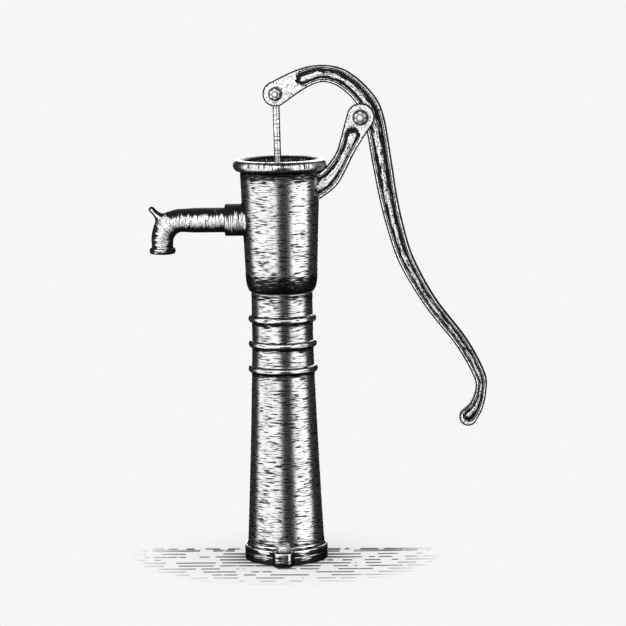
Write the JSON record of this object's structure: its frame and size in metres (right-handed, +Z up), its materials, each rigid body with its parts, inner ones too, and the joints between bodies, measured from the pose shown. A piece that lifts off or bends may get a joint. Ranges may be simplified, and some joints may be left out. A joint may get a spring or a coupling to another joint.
{
  "type": "hand pitcher pump",
  "caption": "Cast iron hand pump: open bowl with a bent spout on a tapered column with beads, and a long curved lever that works a rod, a plunger and a leather clack valve.",
  "frame": {"origin": "middle of the base's underside, on the pump's axis, at the mouth of the suction port", "axes": "+Z up along the column; the spout points to -X and the handle to +X; +Y is across the pump"},
  "size_m": [0.5032, 0.164, 0.744],
  "materials": {
    "castings": "dark grey cast iron, half gloss",
    "fasteners": "plain steel, slightly darkened",
    "rod": "drawn steel bar",
    "brasswork": "turned brass, dulled",
    "leather": "oiled pump leather"
  },
  "bodies": {
    "root": {"base_plate": "castings", "foot_gasket": "leather", "column": "castings", "foot_bolts": "fasteners", "foot_washers": "fasteners", "cylinder_liner": "brasswork", "neck_gasket": "leather", "bowl": "castings", "bowl_rim": "castings", "spout_boss": "castings", "spout": "castings", "handle_bracket": "castings", "bracket_bolts": "fasteners", "bracket_washers": "leather", "fulcrum_bolt": "fasteners", "fulcrum_nut": "fasteners", "fulcrum_washers": "fasteners", "clack_pin": "brasswork"},
    "handle": {"handle": "castings", "fulcrum_bush": "brasswork", "rod_pin": "fasteners", "rod_pin_nut": "fasteners", "rod_pin_washers": "fasteners"},
    "rod": {"pump_rod": "rod", "rod_stop_washers": "fasteners", "rod_nut": "fasteners"},
    "plunger": {"plunger_cage": "brasswork", "cup_leather": "leather", "plunger_follower": "brasswork"},
    "valve": {"plunger_valve": "brasswork"},
    "clack": {"clack_plate": "brasswork", "clack_leather": "leather", "clack_screw": "brasswork"}
  },
  "joints": [
    {"name": "handle_lift", "type": "hinge", "parent": "root", "child": "handle", "pos_m": [0.122, 0, 0.666], "axis": [0, -1, 0], "range_deg": [0, 37.9]},
    {"name": "rod_swing", "type": "hinge", "parent": "handle", "child": "rod", "pos_m": [-0.004, 0, 0.702], "axis": [0, -1, 0], "range_deg": [-38, 0]},
    {"name": "plunger_stroke", "type": "slide", "parent": "root", "child": "plunger", "axis": [0, 0, 1], "range_m": [-0.0851, 0]},
    {"name": "plunger_valve_lift", "type": "slide", "parent": "plunger", "child": "valve", "axis": [0, 0, 1], "range_m": [0, 0.006]},
    {"name": "clack_flap", "type": "hinge", "parent": "root", "child": "clack", "pos_m": [-0.03, 0, 0.031], "axis": [0, -1, 0], "range_deg": [0, 35]}
  ],
  "couplings": [
    {"joint": "rod_swing", "follows": "handle_lift", "ratio": -1},
    {"joint": "plunger_stroke", "follows": "handle_lift", "m_per_rad": -0.1285}
  ]
}
